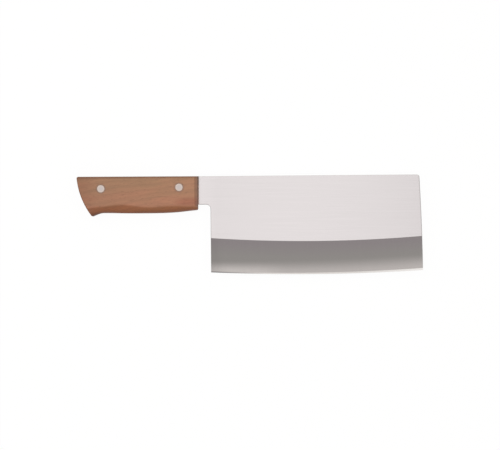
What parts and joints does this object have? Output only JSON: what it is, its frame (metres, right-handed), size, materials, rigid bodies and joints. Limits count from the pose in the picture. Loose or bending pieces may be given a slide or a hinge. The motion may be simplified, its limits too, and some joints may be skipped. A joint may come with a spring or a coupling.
{
  "type": "chinese cleaver",
  "caption": "Broad slab-bladed vegetable cleaver with a ground bevel along its edge, a full neck and tang, and a one-piece riveted wooden handle with a hooked butt.",
  "frame": {"origin": "centre of the knife's bounding box in X and Y, on the plane of the handle's lower side", "axes": "+X from the handle's butt to the blade's toe, +Y from the cutting edge to the spine, +Z out of the blade's upper side; the knife lies on its side"},
  "size_m": [0.3261, 0.0936, 0.02],
  "materials": {
    "blade_steel": "satin polished flats over a darker ground bevel and a bright sharpened edge",
    "handle_wood": "reddish brown close-grained wood, oiled, satin",
    "rivet_steel": "satin, ground flush with the wood"
  },
  "bodies": {
    "root": {"blade": "blade_steel", "handle": "handle_wood", "front_rivet_female": "rivet_steel", "front_rivet_male": "rivet_steel", "rear_rivet_female": "rivet_steel", "rear_rivet_male": "rivet_steel"}
  },
  "joints": []
}
